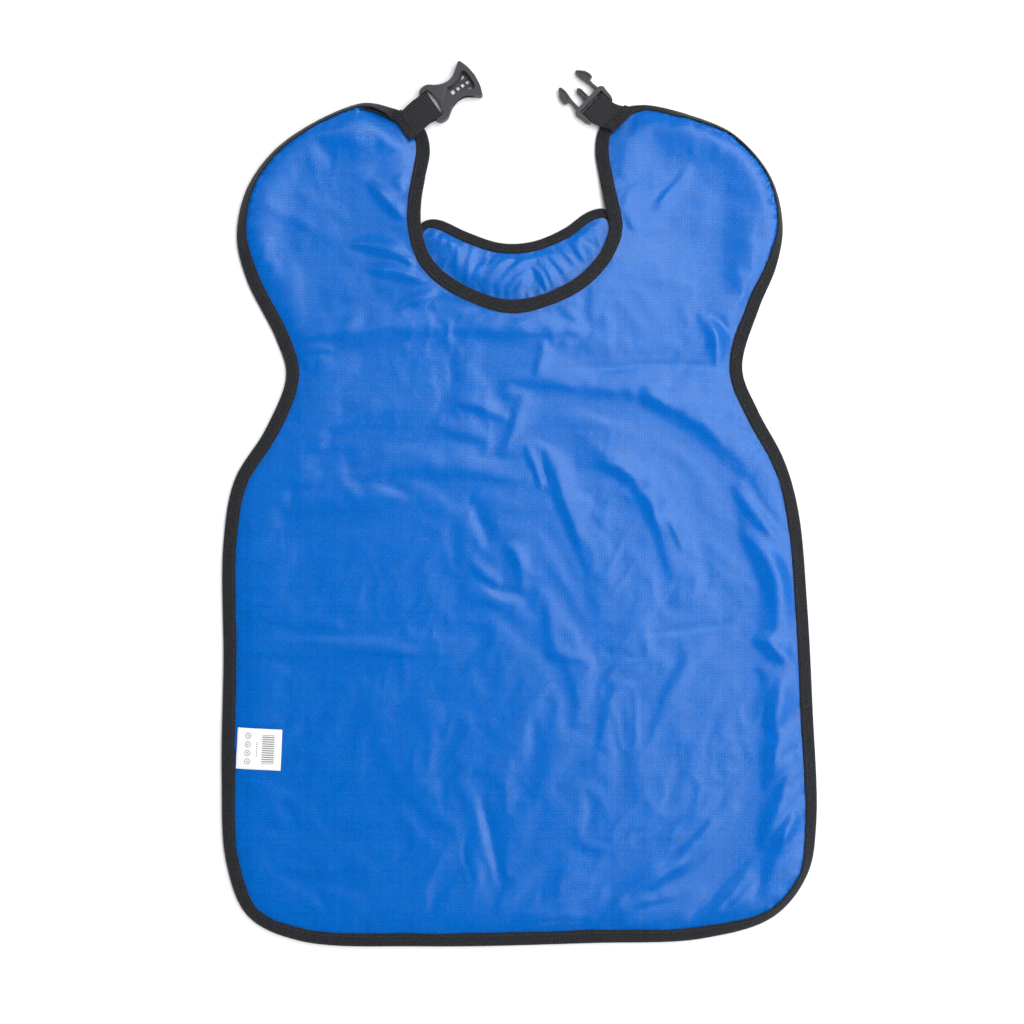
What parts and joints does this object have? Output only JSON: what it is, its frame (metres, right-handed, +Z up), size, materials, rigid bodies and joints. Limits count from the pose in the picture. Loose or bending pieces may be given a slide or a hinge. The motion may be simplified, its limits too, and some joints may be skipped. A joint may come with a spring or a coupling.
{
  "type": "lead x-ray apron with neck collar",
  "caption": "Blue padded lead x-ray apron with a crescent neck collar, black bound edges, webbing shoulder straps and an open side-release buckle, lying flat.",
  "frame": {"origin": "middle of the apron's box, on the surface it lies on", "axes": "+Z up out of the front of the apron, +Y towards the neckline, +X to the right as seen from above"},
  "size_m": [0.5347, 0.794, 0.0144],
  "materials": {
    "cover_cloth": "fine twill nylon, satin sheen",
    "binding_tape": "woven tape, matte",
    "strap_webbing": "ribbed webbing, matte",
    "buckle_plastic": "fine moulded texture",
    "label_satin": "woven satin"
  },
  "bodies": {
    "root": {"apron_panel": "cover_cloth", "outer_binding": "binding_tape", "neck_binding": "binding_tape", "collar_panel": "cover_cloth", "collar_binding": "binding_tape", "left_strap": "strap_webbing", "right_strap": "strap_webbing", "buckle_socket": "buckle_plastic", "buckle_plug": "buckle_plastic", "care_label": "label_satin"}
  },
  "joints": []
}
